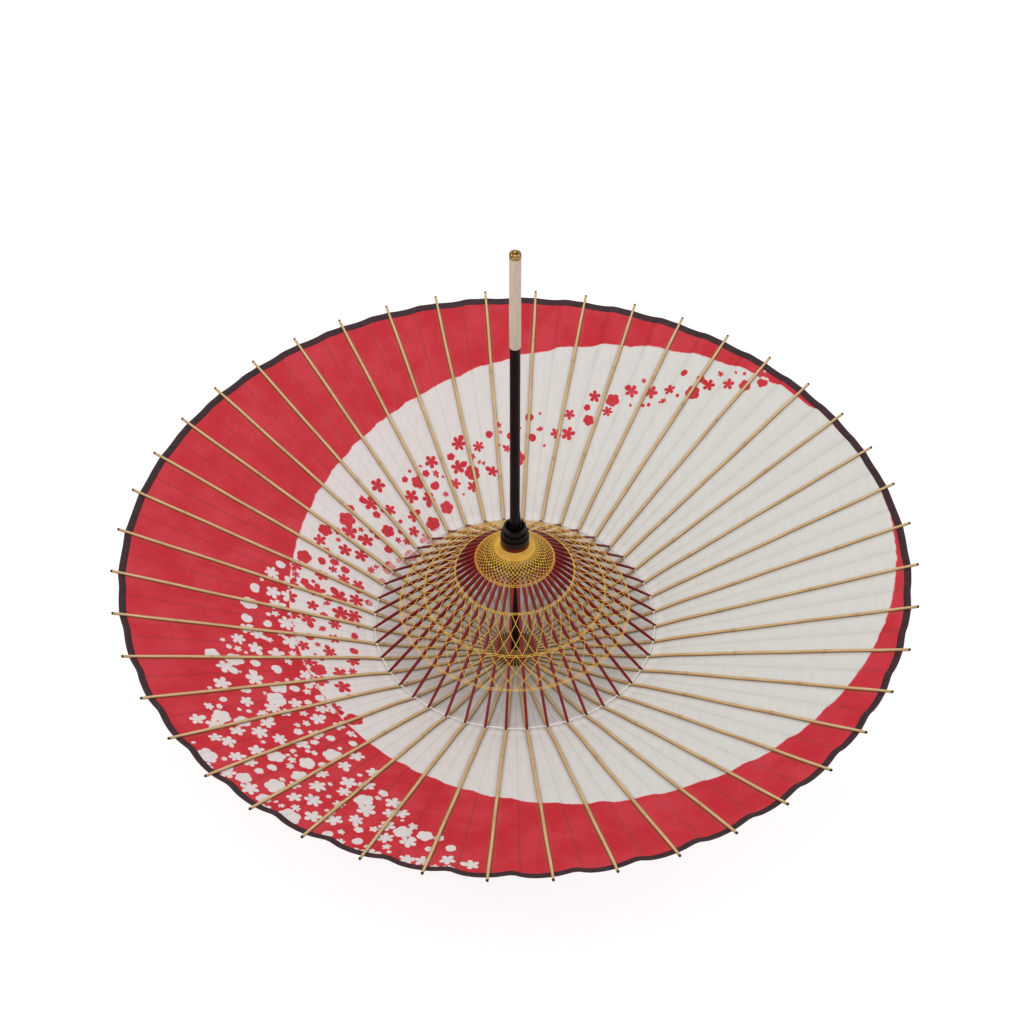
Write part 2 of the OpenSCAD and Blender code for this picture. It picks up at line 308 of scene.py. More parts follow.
def blossoms(f, plan, grid, clear_of=()):
    """One scatter of blossoms: 1 on a petal. Each cell holds at most one blossom.
    clear_of lists the (scatter, distance) that it keeps away from."""
    centre, chance = cell_point(f, plan, grid)
    turn, kind, grow = chance[0], chance[1], chance[2]
    offset = f.vector("SUBTRACT", plan, centre)
    side = f.split(offset)
    far = f.vector("LENGTH", offset)
    angle = f.math("MULTIPLY_ADD", turn, 2 * math.pi, f.math("ARCTAN2", side[1], side[0]))
    at = f.split(centre)
    fullness = f.step(f.math("MULTIPLY", f.math("ADD", at[0], at[1]), -0.6), -0.75, 0.35)
    share = f.math("MULTIPLY_ADD", grow, 0.3, f.between(fullness, 0.58, 0.7))
    radius = f.math("MULTIPLY", grid.size, share)
    reach = petal_reach(f, angle, kind, grow)
    edge = f.math("SUBTRACT", f.math("MULTIPLY", radius, reach), far)
    luck = f.math("FRACT", f.math("MULTIPLY", turn, 17.3))
    shown = f.math("LESS_THAN", luck, f.between(fullness, 0.93, 0.98))
    inside = f.vector("DISTANCE", centre, (*SWEEP_OUT, 0))
    inside = f.math("LESS_THAN", inside, SWEEP_OUT_R - SWEEP_EDGE)
    outside = f.vector("DISTANCE", centre, (*SWEEP_IN, 0))
    outside = f.math("GREATER_THAN", outside, SWEEP_IN_R + SWEEP_EDGE)
    shown = f.math("MULTIPLY", shown, f.math("MULTIPLY", inside, outside))
    for other_grid, distance in clear_of:
        other, _ = cell_point(f, centre, other_grid)
        clear = f.math("GREATER_THAN", f.vector("DISTANCE", centre, other), distance)
        shown = f.math("MULTIPLY", shown, clear)
    return f.math("MULTIPLY", f.step(edge, -PETAL_EDGE, PETAL_EDGE), shown)


def white_print(f, plan):
    """1 where the paper is white: a blossom is red inside the moon and white outside it."""
    large = blossoms(f, plan, LARGE)
    small = blossoms(f, plan, SMALL, [(LARGE, 0.031)])
    dots = blossoms(f, plan, DOTS, [(LARGE, 0.028), (SMALL, 0.018)])
    flower = f.math("MAXIMUM", large, f.math("MAXIMUM", small, dots))
    wander = f.noise(plan, 34, 2)
    moon_far = f.math("MULTIPLY_ADD", wander, 0.01, f.vector("DISTANCE", plan, (*MOON, 0)))
    low, high = MOON_EDGE
    moon = f.math("SUBTRACT", 1, f.step(moon_far, MOON_R + low, MOON_R + high))
    return f.math("ABSOLUTE", f.math("SUBTRACT", moon, flower))


def paper_finish():
    f = Finish("oiled_paper", Coat_Weight=0.05, Coat_Roughness=0.35, Specular_IOR_Level=0.25)
    plan = f.uv("print")
    white = white_print(f, plan)
    cloud = f.noise(plan, 9, 4, 0.6)
    fibre = f.noise(plan, 60, 4, 0.65, (1, 0.35, 1))
    grain = f.noise(plan, 420, 2, 0.6)
    across = f.split(plan)
    warm = f.step(across[0], 0.55, -0.75)
    pale = f.mix(warm, srgb(208, 206, 201), srgb(214, 203, 202))
    pale = f.mix(f.between(f.step(fibre, 0.35, 0.7), 0, 0.35), pale, srgb(196, 190, 184))
    red = f.mix(f.step(cloud, 0.35, 0.68), srgb(186, 26, 40), srgb(194, 48, 60))
    red = f.mix(f.between(f.step(fibre, 0.45, 0.8), 0, 0.4), red, srgb(164, 18, 32))
    red = f.mix(f.between(f.step(grain, 0.62, 0.75), 0, 0.35), red, srgb(222, 110, 118))
    tone = f.mix(white, red, pale)
    bleed = f.math("SUBTRACT", 1, f.math("ABSOLUTE", f.math("MULTIPLY_ADD", white, 2, -1)))
    tone = f.mix(f.math("MULTIPLY", bleed, 0.5), tone, srgb(232, 165, 165))

    azimuth = f.math("ARCTAN2", across[1], across[0])
    share = f.math("FRACT", f.math("MULTIPLY", azimuth, HOSTS / math.pi))
    out = f.vector("LENGTH", plan)
    off_knee = f.math("ABSOLUTE", f.math("SUBTRACT", out, KNEE_R * MM / SPAN))
    strip = f.step(off_knee, 0.026, 0.022)
    tone = f.mix(f.math("MULTIPLY", strip, 0.3), tone, srgb(232, 226, 222))
    arc = f.math("MULTIPLY", out, math.pi / HOSTS)
    off_middle = f.math("ABSOLUTE", f.math("SUBTRACT", share, 0.5))
    off_crease = f.math("MULTIPLY", off_middle, arc)
    crease = f.math("SUBTRACT", 1, f.step(off_crease, 0.0008, 0.0034))
    tone = f.mix(f.math("MULTIPLY", crease, f.between(white, 0.3, 0.09)), tone, srgb(96, 40, 40))
    off_rib = f.math("MULTIPLY", f.math("SUBTRACT", 0.5, off_middle), arc)
    # Painted shadow of the ribs: a narrow brownish band of paper along each rib.
    rib_shadow = f.math("SUBTRACT", 1, f.step(off_rib, 0.006, 0.014))
    tone = f.mix(f.math("MULTIPLY", rib_shadow, 0.16), tone, srgb(150, 118, 96))
    f.colour(tone)
    f.roughness(f.between(f.noise(plan, 24, 3), 0.42, 0.62))
    height = f.math("ADD", f.math("MULTIPLY", fibre, 0.7), f.math("MULTIPLY", grain, 0.3))
    f.bump(height, 0.0006, 0.5)
    return f.material


def rim_finish():
    f = Finish("rim_paper", Specular_IOR_Level=0.25)
    plan = f.uv("print")
    fibre = f.noise(plan, 90, 4, 0.7)
    grain = f.noise(plan, 500, 2)
    tone = f.mix(f.step(fibre, 0.35, 0.7), srgb(46, 26, 30), srgb(66, 43, 48))
    f.colour(f.mix(f.between(f.step(grain, 0.55, 0.75), 0, 0.4), tone, srgb(80, 60, 62)))
    f.roughness(f.between(fibre, 0.5, 0.7))
    f.bump(fibre, 0.0006, 0.6)
    return f.material


def bamboo_finish():
    f = Finish("bamboo", Coat_Weight=0.08, Coat_Roughness=0.3, Specular_IOR_Level=0.3)
    along = f.uv("length")
    streak = f.noise(along, 1, 4, 0.6, (26, 2200, 1))
    patch = f.noise(along, 1, 3, 0.5, (14, 60, 1))
    speck = f.noise(along, 1, 2, 0.6, (300, 1500, 1))
    tone = f.mix(f.step(streak, 0.3, 0.7), srgb(206, 174, 126), srgb(178, 142, 94))
    tone = f.mix(f.between(f.step(patch, 0.4, 0.75), 0, 0.45), tone, srgb(222, 200, 158))
    # Painted shade: the ribs' sides and undersides are darker brown.
    tone = f.mix(f.math("MULTIPLY", f.mask("side"), 0.75), tone, srgb(120, 86, 48))
    tone = f.mix(f.math("MULTIPLY", f.mask("knot"), 0.35), tone, srgb(128, 92, 52))
    tone = f.mix(f.between(f.step(speck, 0.68, 0.78), 0, 0.5), tone, srgb(104, 70, 40))
    tone = f.mix(f.mask("dark_end"), tone, srgb(26, 20, 18))
    f.colour(tone)
    f.roughness(f.between(streak, 0.34, 0.6))
    f.bump(streak, 0.0002, 0.6)
    return f.material


def stretcher_finish():
    f = Finish("stretcher_red", Coat_Weight=0.08, Coat_Roughness=0.2, Specular_IOR_Level=0.25)
    along = f.uv("length")
    streak = f.noise(along, 1, 4, 0.6, (22, 1800, 1))
    patch = f.noise(along, 1, 3, 0.5, (40, 200, 1))
    tone = f.mix(f.step(streak, 0.3, 0.7), srgb(132, 2, 8), srgb(104, 0, 5))
    tone = f.mix(f.between(f.step(patch, 0.5, 0.8), 0, 0.5), tone, srgb(150, 6, 14))
    # Painted shade: the stretchers' sides and undersides are darker crimson.
    tone = f.mix(f.math("MULTIPLY", f.mask("side"), 0.45), tone, srgb(66, 2, 6))
    # Darker towards the runner, and painted shade at the knee end.
    tone = f.mix(f.math("MULTIPLY", f.mask("dark_end"), 0.92), tone, srgb(30, 8, 9))
    f.colour(tone)
    f.roughness(f.between(patch, 0.3, 0.5))
    f.bump(streak, 0.0002, 0.5)
    return f.material


# How fast the plies turn along a thread, in radians per metre
PLY_TWIST = 5200
LACQUER_GRAIN = (900, 900, 60)


def thread_finish(name, light, dark):
    """Two-ply thread: the plies show as slanting light and dark bands, painted shade where the plies
    meet.
    """
    f = Finish(name, Sheen_Weight=0.35, Sheen_Roughness=0.5)
    along = f.uv("length")
    run, turn = f.split(along)[0], f.split(along)[1]
    phase = f.math("MULTIPLY", turn, 2 * math.pi)
    phase = f.math("ADD", f.math("MULTIPLY", run, PLY_TWIST), phase)
    ply = f.math("MULTIPLY_ADD", f.math("SINE", phase), 0.5, 0.5)
    fuzz = f.noise(along, 1, 3, 0.7, (900, 6, 1))
    # Painted shade: darker bands where the plies meet, lighter on their crowns.
    tone = f.mix(f.between(ply, 0.1, 0.9), dark, light)
    f.colour(f.mix(f.between(fuzz, 0, 0.4), tone, light))
    f.roughness(f.between(fuzz, 0.55, 0.8))
    f.bump(ply, 0.0001, 0.8)
    return f.material


def lacquer_finish(name, light, dark, coat):
    f = Finish(name, Coat_Weight=coat, Coat_Roughness=0.15, Specular_IOR_Level=0.12)
    where = f.place()
    streak = f.noise(where, 1, 4, 0.6, LACQUER_GRAIN)
    cloud = f.noise(where, 60, 3)
    tone = f.mix(f.step(streak, 0.35, 0.7), dark, light)
    f.colour(f.mix(f.between(f.step(cloud, 0.5, 0.8), 0, 0.4), tone, light))
    f.roughness(f.between(cloud, 0.28, 0.46))
    f.bump(streak, 0.00012, 0.35)
    return f.material


def runner_finish():
    """Red lacquer at the foot of the runner, black above it, with a worn line between."""
    f = Finish("runner_lacquer", Coat_Weight=0.3, Coat_Roughness=0.15, Specular_IOR_Level=0.12)
    where = f.place()
    streak = f.noise(where, 1, 4, 0.6, LACQUER_GRAIN)
    red = f.mix(f.step(streak, 0.35, 0.7), srgb(72, 2, 8), srgb(120, 8, 14))
    black = f.mix(f.step(streak, 0.35, 0.7), srgb(8, 6, 7), srgb(26, 16, 16))
    worn = f.math("MULTIPLY_ADD", streak, 0.0006, f.split(where)[2])
    above = f.step(worn, RUNNER_RED_TOP * MM, (RUNNER_RED_TOP + 0.4) * MM)
    f.colour(f.mix(above, red, black))
    f.roughness(f.between(streak, 0.28, 0.46))
    f.bump(streak, 0.00012, 0.35)
    return f.material


def brass_finish():
    f = Finish("brass", Metallic=1.0)
    where = f.place()
    scratch = f.noise(where, 1, 4, 0.7, (300, 300, 3200))
    patina = f.noise(where, 420, 4, 0.6)
    tone = f.mix(f.step(patina, 0.42, 0.7), srgb(172, 138, 80), srgb(98, 74, 42))
    f.colour(f.mix(f.mask("groove"), tone, srgb(58, 40, 22)))
    f.roughness(f.between(scratch, 0.2, 0.42))
    f.bump(scratch, 0.00008, 0.4)
    return f.material


def latch_finish():
    f = Finish("latch_steel", Metallic=0.7)
    where = f.place()
    brushed = f.noise(where, 1, 4, 0.7, (900, 900, 120))
    rust = f.noise(where, 500, 4, 0.6)
    tone = f.mix(f.step(brushed, 0.3, 0.7), srgb(70, 62, 56), srgb(44, 38, 34))
    f.colour(f.mix(f.between(f.step(rust, 0.55, 0.75), 0, 0.7), tone, srgb(92, 58, 36)))
    f.roughness(f.between(brushed, 0.35, 0.6))
    f.bump(brushed, 0.00008, 0.4)
    return f.material


FINISH = {
    "paper": paper_finish(),
    "rim": rim_finish(),
    "bamboo": bamboo_finish(),
    "stretcher": stretcher_finish(),
    "yellow": thread_finish("yellow_thread", srgb(248, 198, 58), srgb(208, 150, 28)),
    "white": thread_finish("white_thread", srgb(250, 248, 244), srgb(214, 208, 202)),
    "twine": thread_finish("head_twine", srgb(176, 142, 96), srgb(128, 94, 56)),
    "shaft": lacquer_finish("shaft_lacquer", srgb(26, 8, 10), srgb(9, 4, 5), 0.05),
    "head": lacquer_finish("head_lacquer", srgb(52, 28, 26), srgb(24, 13, 13), 0.4),
    "hub": lacquer_finish("head_wood", srgb(150, 112, 70), srgb(104, 72, 42), 0.15),
    "runner": runner_finish(),
    "collar": lacquer_finish("collar_black", srgb(20, 17, 17), srgb(7, 6, 7), 0.12),
    "grip": lacquer_finish("grip_wood", srgb(206, 190, 174), srgb(192, 174, 156), 0.15),
    "brass": brass_finish(),
    "latch": latch_finish(),
}


# ---------------------------------------------------------------- mesh helpers
def build(name, verts, faces, finish, body, slot, uv, uv_name="length", masks=None, sharp=32):
    """A mesh piece from points in millimetres, riding on a body.
    Edges that turn by more than sharp degrees stay sharp."""
    mesh = bpy.data.meshes.new(name)
    mesh.from_pydata([(x * MM, y * MM, z * MM) for x, y, z in verts], [], faces)
    mesh.update()
    for mask, values in (masks or {}).items():
        mesh.attributes.new(mask, "FLOAT", "POINT").data.foreach_set("value", values)
    layer = mesh.uv_layers.new(name=uv_name)
    for polygon in mesh.polygons:
        for loop, vert in zip(polygon.loop_indices, polygon.vertices):
            layer.data[loop].uv = uv[vert]
    mesh.shade_smooth()
    mesh.set_sharp_from_angle(angle=math.radians(sharp))
    mesh.materials.append(FINISH[finish])
    piece = bpy.data.objects.new(name, mesh)
    bpy.context.scene.collection.objects.link(piece)
    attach(piece, body)
    return piece


# Not along any thread, so a tube's sides never twist
NEARLY_UP = (0.02, 0.03, 1)


class Parts:
    """Points, faces, masks and texture places of one piece, gathered from several loops."""

    def __init__(self):
        self.verts, self.faces, self.uv = [], [], []
        self.masks = {}

    def loft(self, rings, uvs, masks=None, caps=True):
        """Joins closed rings of points, each with the same number of points."""
        start, n = len(self.verts), len(rings[0])
        for ring, place in zip(rings, uvs):
            self.verts += ring
            self.uv += place
        for j in range(len(rings) - 1):
            a = start + j * n
            for i in range(n):
                k = (i + 1) % n
                self.faces.append((a + i, a + k, a + n + k, a + n + i))
        if caps:
            self.faces.append(tuple(start + i for i in reversed(range(n))))
            self.faces.append(tuple(start + (len(rings) - 1) * n + i for i in range(n)))
        for key, values in (masks or {}).items():
            self.masks.setdefault(key, []).extend(values)

    def tube(self, points, radius, sides, closed=False):
        """A round thread along the points."""
        points = [Vector(p) for p in points]
        last = len(points) - 1
        rings, uvs, run = [], [], 0.0
        up = Vector(NEARLY_UP)
        turns = [2 * math.pi * i / sides for i in range(sides)]
        for j, p in enumerate(points):
            if closed:
                ahead = points[(j + 1) % (last + 1)] - points[j - 1]
            else:
                ahead = points[min(j + 1, last)] - points[max(j - 1, 0)]
            run += (p - points[max(j - 1, 0)]).length
            side = ahead.cross(up).normalized()
            top = side.cross(ahead).normalized()
            ring = [p + radius * (math.cos(t) * side + math.sin(t) * top) for t in turns]
            rings.append([tuple(q) for q in ring])
            uvs.append([(run * MM, i / sides) for i in range(sides)])
        if closed:
            rings.append(rings[0])
            uvs.append(uvs[0])
        self.loft(rings, uvs, caps=not closed)

    def piece(self, name, finish, body, slot, **more):
        more["masks"] = self.masks
        return build(name, self.verts, self.faces, finish, body, slot, self.uv, **more)


def spun(azimuth, radius, z, side=0.0):
    """A point at an azimuth in degrees, side millimetres round from it."""
    a = math.radians(azimuth)
    c, s = math.cos(a), math.sin(a)
    return (radius * c - side * s, radius * s + side * c, z)


# The (lobes, depth) of a round outline point, and of one that lies in a darker groove
PLAIN = (0, 0)
GROOVE = (0, -1)


def lathe(name, outline, finish, body, slot, sides, waves=None):
    """A turned piece: the outline is a closed loop of (radius, height) points.
    waves gives each outline point's (lobes, depth)."""
    parts = Parts()
    groove = parts.masks["groove"] = []
    n = len(outline)
    for i in range(sides):
        t = 360 * i / sides
        for j, (radius, z) in enumerate(outline):
            wave = waves[j] if waves else PLAIN
            lobes, depth = wave
            r = radius + depth * math.cos(math.radians(t * lobes)) if lobes else radius
            parts.verts.append(spun(t, r, z))
            parts.uv.append((t / 360, j / n))
            groove.append(1.0 if wave == GROOVE else 0.0)
    for i in range(sides):
        a, b = i * n, (i + 1) % sides * n
        for j in range(n):
            k = (j + 1) % n
            on_axis = outline[j][0] == 0 and outline[k][0] == 0
            if not on_axis:
                parts.faces.append((a + j, b + j, b + k, a + k))
    piece = parts.piece(name, finish, body, slot)
    weld(piece)
    return piece


def weld(piece):
    """Merges points that fall together on the axis."""
    bm = bmesh.new()
    bm.from_mesh(piece.data)
    bmesh.ops.remove_doubles(bm, verts=bm.verts, dist=0.00001)
    bmesh.ops.recalc_face_normals(bm, faces=bm.faces)
    bm.to_mesh(piece.data)
    bm.free()


# ---------------------------------------------------------------- ribs
BAR_SIDES = 12
KNOT_REACH = 2.2
RIB_SEED = 41


def smooth(t):
    """0 at 0, 1 at 1, level at both ends."""
    t = min(max(t, 0), 1)
    return t * t * (3 - 2 * t)


def rib_line(x):
    """Height of a rib's middle line over its own x axis: it dips to the knee, then rises."""
    if x < KNEE_X:
        return -KNEE_DROP * smooth(x / KNEE_X) ** 1.3
    share = (x - KNEE_X) / (TIP_X - KNEE_X)
    swell = 1.4 * (1 - math.exp(-((x - KNEE_X) / 16) ** 2)) * (1 - share)
    return -KNEE_DROP + (TIP_Y + KNEE_DROP) * share + swell


def rib_point(azimuth, x, y, side=0.0):
    """A point of the rib at an azimuth, at x along its axis and y over it."""
    c, s = math.cos(RIB_SLOPE), math.sin(RIB_SLOPE)
    return spun(azimuth, HEAD_R + x * c - y * s, HEAD_Z + x * s + y * c, side)


def stretcher_point(azimuth, x, y, side=0.0):
    """A point of the stretcher at an azimuth, at x along its axis and y over it."""
    c, s = math.cos(STRETCHER_SLOPE), math.sin(STRETCHER_SLOPE)
    return spun(azimuth, RUNNER_R + x * c + y * s, RUNNER_Z - x * s + y * c, side)


def section(half_w, half_d, power):
    """A rounded bar section: (side, height, painted shade that grows with how far it is from the top,
    run round it).
    """
    points = []
    for i in range(BAR_SIDES):
        t = 2 * math.pi * (i + 0.5) / BAR_SIDES
        c, s = math.cos(t), math.sin(t)
        points.append((
            half_w * math.copysign(abs(c) ** power, c),
            half_d * math.copysign(abs(s) ** power, s),
            smooth(0.85 - 0.9 * s),
            (half_w + half_d) * 2 * i / BAR_SIDES,
        ))
    return points


def bar(parts, stations, point, power=0.62):
    """stations holds (x, y, half width, half depth, knot, dark end, drift); a lower power is squarer.
    """
    rings, uvs, painted_shade_mask, knot_mask, dark_end_mask = [], [], [], [], []
    for x, y, half_w, half_d, knot, dark_end, drift in stations:
        loop = section(half_w, half_d, power)
        rings.append([point(x, y + up, drift + side) for side, up, _, _ in loop])
        uvs.append([(x * MM, run * MM) for _, _, _, run in loop])
        # Painted shade on the bar's sides and underside, strongest away from the top.
        painted_shade_mask += [low for _, _, low, _ in loop]
        knot_mask += [knot] * BAR_SIDES
        dark_end_mask += [dark_end] * BAR_SIDES
    parts.loft(rings, uvs, {"side": painted_shade_mask, "knot": knot_mask, "dark_end": dark_end_mask})


def knot_at(x, knots):
    """1 at a knot of the bamboo, fading to 0 within a few millimetres."""
    return max([math.exp(-((x - k) / KNOT_REACH) ** 2) for k in knots] + [0])


def rib_stations(rng):
    """One rib from hinge to tip, with knots, a slight bow and a burnt tip of its own."""
    knots = [KNEE_X - 9]
    x = KNEE_X + rng.uniform(50, 110)
    while x < TIP_X - 40:
        knots.append(x)
        x += rng.uniform(90, 140)
    places = [-1.6, -0.8, 0, 2, 5, 8, 12, 16, 24, 36, 50, 66, 84, 102, 118, KNEE_X - 18]
    places += [KNEE_X + d for d in (-4, 0, 4, 8, 13, 19, 26, 36, 50)]
    places += [KNEE_X + 50 + i * (TIP_X - 18 - KNEE_X - 50) / 16 for i in range(1, 17)]
    places += [k + d for k in knots for d in (-4, -2, -1, 0, 1, 2, 4)]
    places += [TIP_X - d for d in (9, 4, 2.3, 2.0, 1.0, 0.3, 0)]
    bow = rng.uniform(-0.5, 0.5)
    wobble = rng.uniform(0, 6.28)
    stations = []
    for x in sorted(set(places)):
        wide = RIB_HINGE_W + (RIB_NECK_W - RIB_HINGE_W) * smooth((x - 8) / 8)
        wide += (RIB_W - RIB_NECK_W) * smooth((x - 16) / 40)
        wide -= 0.5 * smooth((x - TIP_X + 60) / 60)
        eye = math.sqrt(max(4 - x * x, 0)) if x < 1.2 else 0
        half_d = max(RIB_D / 2 if x > 0 else 0.2, eye)
        half_d -= 0.25 * smooth((x - KNEE_X) / 120)
        end = smooth((x - TIP_X + 1.1) / 1.1)
        knot = knot_at(x, knots)
        share = max(x - KNEE_X, 0) / (TIP_X - KNEE_X)
        drift = bow * math.sin(math.pi * share)
        drift += 0.18 * math.sin(x / 17 + wobble) * min(share * 8, 1)
        dark_end = 1.0 if x > TIP_X - 2.1 else 0.0
        half_w = wide / 2 * (1 - 0.45 * end) + 0.28 * knot
        half_d = half_d * (1 - 0.45 * end) + 0.2 * knot
        stations.append((x, rib_line(x), half_w, half_d, knot, dark_end, drift))
    return stations


def stretcher_stations():
    """One stretcher from hinge to knee: it flares beside the net, and is dark at both ends: darker
    near the runner, and painted shade at the knee end.
    """
    places = [-1.3, -0.6, 0, 1.5, 4, 7, 10, 14, 18, 22, 26, 30, 36, 44]
    places += [60, 80, 100, 120, 130, 140, 150, 157]
    places += [STRETCHER_LEN + d for d in (-20, -12, -6, -3, -1.5, 0.0, 1.2, 1.6)]
    stations = []
    for x in places:
        wide = STRETCHER_HINGE_W + (STRETCHER_NECK_W - STRETCHER_HINGE_W) * smooth((x - 7) / 7)
        wide += (STRETCHER_W - STRETCHER_NECK_W) * smooth((x - 14) / 56)
        wide += STRETCHER_FLARE * smooth((x - 9) / 9) * (1 - smooth((x - 28) / 38))
        eye = math.sqrt(max(1.5 ** 2 - x * x, 0)) if x < 0.8 else 0
        half_d = max(STRETCHER_D / 2 if x > 0 else 0.2, eye)
        half_d -= 0.35 * smooth((x - STRETCHER_LEN + 14) / 12)
        deeper = 0.55 * smooth((x - 16) / 14) * (1 - smooth((x - STRETCHER_LEN + 60) / 40))
        end = smooth((x - STRETCHER_LEN - 1.2) / 0.4)
        # Dark near the runner, and painted shade at the knee end.
        dark_end = max(smooth((x - STRETCHER_LEN + 1.4) / 1.2), 1 - smooth((x - 22) / 13))
        half_w = wide / 2 - 0.25 * end
        half_d = half_d + deeper - 0.25 * end
        stations.append((x, -deeper, half_w, half_d, 0.0, dark_end, 0.0))
    return stations


def make_ribs():
    rng = random.Random(RIB_SEED)
    for i in range(1, HOSTS + 1):
        host = (i - 1) * SECTOR
        for between in (False, True):
            azimuth = host + PITCH * between
            parts = Parts()
            bar(parts, rib_stations(rng), partial(rib_point, azimuth))
            name = f"bamboo_{'between' if between else 'host'}_{i:02d}"
            piece = parts.piece(name, "bamboo", f"rib_{i:02d}", "bamboo", sharp=50)
            if between:
                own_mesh(piece)
                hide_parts("between_ribs")
            else:
                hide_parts(f"rib_{i:02d}")


def make_stretchers():
    for i in range(1, HOSTS + 1):
        host = (i - 1) * SECTOR
        for between in (False, True):
            azimuth = host + PITCH * between
            parts = Parts()
            point = partial(stretcher_point, azimuth)
            bar(parts, stretcher_stations(), point, power=0.45)
            name = f"strut_{'between' if between else 'host'}_{i:02d}"
            piece = parts.piece(name, "stretcher", f"stretcher_{i:02d}", "stretcher_red", sharp=50)
            if between:
                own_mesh(piece)
                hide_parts("between_stretchers")
            else:
                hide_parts(f"stretcher_{i:02d}")


# ---------------------------------------------------------------- paper
PAPER_FROM = 8.0
PAPER_GAP = 0.06
PANEL_COLUMNS = 12
BAND_WIDE = 7.0
BAND_RISE = 0.3


def ripple(share, x):
    """How far the paper stands off the flat between two ribs, towards the inner side."""
    grow = smooth((x - KNEE_X * 0.6) / (RIM_X - KNEE_X * 0.6))
    if share < 0.5:
        lift = math.sin(math.pi * (2 * share) ** 2.2)
    else:
        lift = -0.55 * math.sin(math.pi * (2 * share - 1))
    crease = 0.5 * max(0, 1 - abs(share - 0.5) / 0.06)
    return 2.3 * grow * lift + crease * smooth((x - 20) / 60)


def paper_point(column, x, off=0.0):
    """column counts from the first rib, PANEL_COLUMNS to a panel."""
    panel, step = divmod(column, PANEL_COLUMNS)
    share = step / PANEL_COLUMNS
    y = rib_line(x) - RIB_D / 2 - PAPER_GAP + 0.25 * smooth((x - KNEE_X) / 120)
    first = Vector(rib_point(panel * PITCH, x, y))
    second = Vector(rib_point((panel + 1) * PITCH, x, y))
    a = math.radians((panel + share) * PITCH)
    lean = -math.sin(RIB_SLOPE)
    normal = Vector((lean * math.cos(a), lean * math.sin(a), math.cos(RIB_SLOPE)))
    return first.lerp(second, share) + normal * (ripple(share, x) + off)


def plan_place(point):
    """Where a point lies in the print."""
    return (point[0] * MM / SPAN, point[1] * MM / SPAN)


def paper_rows():
    rows = [PAPER_FROM, 12, 18, 26, 36, 48, 62, 78, 96, 114, 130]
    rows += [KNEE_X + d for d in (-6, 0, 6, 12, 18, 26, 36)]
    start = KNEE_X + 36
    rows += [start + i * (RIM_X - start) / 18 for i in range(1, 19)]
    return rows


def sector_columns(i):
    """The columns of host rib i's sector: half a panel before it to one and a half after it."""
    first = (2 * i - 2) * PANEL_COLUMNS - PANEL_COLUMNS // 2
    return range(first, first + 2 * PANEL_COLUMNS + 1)


def grid_faces(rows, columns):
    """Quads between the points of a grid that is listed row by row."""
    return [
        (a, a + 1, a + columns + 1, a + columns)
        for j in range(rows - 1)
        for a in range(j * columns, (j + 1) * columns - 1)
    ]


def make_paper():
    rows = paper_rows()
    for i in range(1, HOSTS + 1):
        columns = list(sector_columns(i))
        verts = [tuple(paper_point(c, x)) for x in rows for c in columns]
        faces = grid_faces(len(rows), len(columns))
        uv = [plan_place(v) for v in verts]
        body = f"rib_{i:02d}"
        paper = build(f"paper_{i:02d}", verts, faces, "paper", body, "paper", uv, "print", sharp=14)
        band = make_band(i, columns, body)
        for piece in (paper, band):
            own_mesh(piece)
            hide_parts("canopy")


def make_band(i, columns, body):
    """The dark strip folded over the rim."""
    start, rise = RIM_X - BAND_WIDE, BAND_RISE
    profile = [(start, 0.05), (start + 0.4, rise), (RIM_X - 1, rise), (RIM_X + 0.4, rise)]
    profile += [(RIM_X + 0.8, 0), (RIM_X + 0.4, -rise), (RIM_X - 1, -rise), (start, -rise)]
    verts = [tuple(paper_point(c, x, off)) for x, off in profile for c in columns]
    faces = grid_faces(len(profile), len(columns))
    uv = [plan_place(v) for v in verts]
    return build(f"rim_{i:02d}", verts, faces, "rim", body, "paper", uv, "print", sharp=40)


# ---------------------------------------------------------------- threads
LACING_R = 0.32
LACING_LIFT = STRETCHER_D / 2 + 0.3
THREAD_SIDES = 5

# Turns of yellow thread side by side at the runner: the first WOUND of them are wound on the runner
FIRST_TURN = 15.4
TURN_STEP = 0.6
TURN_R = 0.33
TURNS = 11
WOUND = 7

# The net's threads run out from NET_IN to NET_MIDDLE and NET_OUT, and a ring lies at NET_RIM.
# The lattice beyond it has a pair of rings, RING_STEP apart, at each radius in LATTICE.
NET_IN = 20
NET_MIDDLE = 33
NET_OUT = 41
NET_RIM = 42.1
LATTICE = (62.6, 96, 122.6)
RING_STEP = 1.2
# The net's threads are thinner, and the upper of two crossing threads is lifted by OVER
NET_R = 0.24
NET_THIN_R = 0.22
OVER = 0.28

# Three turns of white thread round each knee
KNEE_TURN_R = 0.26
KNEE_TURN_STEP = 0.64
KNEE_TURN_UP = 1.75
KNEE_TURN_SIDE = 1.95
KNEE_TURN_POINTS = 14


def lacing_x(radius):
    """How far along a stretcher the lacing on it is at this radius."""
    out = radius - RUNNER_R - LACING_LIFT * math.sin(STRETCHER_SLOPE)
    return out / math.cos(STRETCHER_SLOPE)


def sector_of(azimuth):
    """The number of the host rib whose sector holds this azimuth."""
    return int((azimuth + PITCH / 2) % 360 // SECTOR) + 1


def sector_runs(path):
    """Splits a path of (azimuth, x) at the folds between sectors."""
    runs = []
    for (a0, x0), (a1, x1) in zip(path, path[1:]):
        cuts = [0.0, 1.0]
        low, high = min(a0, a1), max(a0, a1)
        edge = math.ceil((low + PITCH / 2) / SECTOR) * SECTOR - PITCH / 2
        while edge < high:
            if edge > low:
                cuts.append((edge - a0) / (a1 - a0))
            edge += SECTOR
        cuts.sort()
        for t0, t1 in zip(cuts, cuts[1:]):
            if t1 - t0 < 1e-6:
                continue
            start = (a0 + (a1 - a0) * t0, x0 + (x1 - x0) * t0)
            end = (a0 + (a1 - a0) * t1, x0 + (x1 - x0) * t1)
            owner = sector_of((start[0] + end[0]) / 2)
            if runs and runs[-1][0] == owner and runs[-1][1][-1] == start:
                runs[-1][1].append(end)
            else:
                runs.append((owner, [start, end]))
    return runs


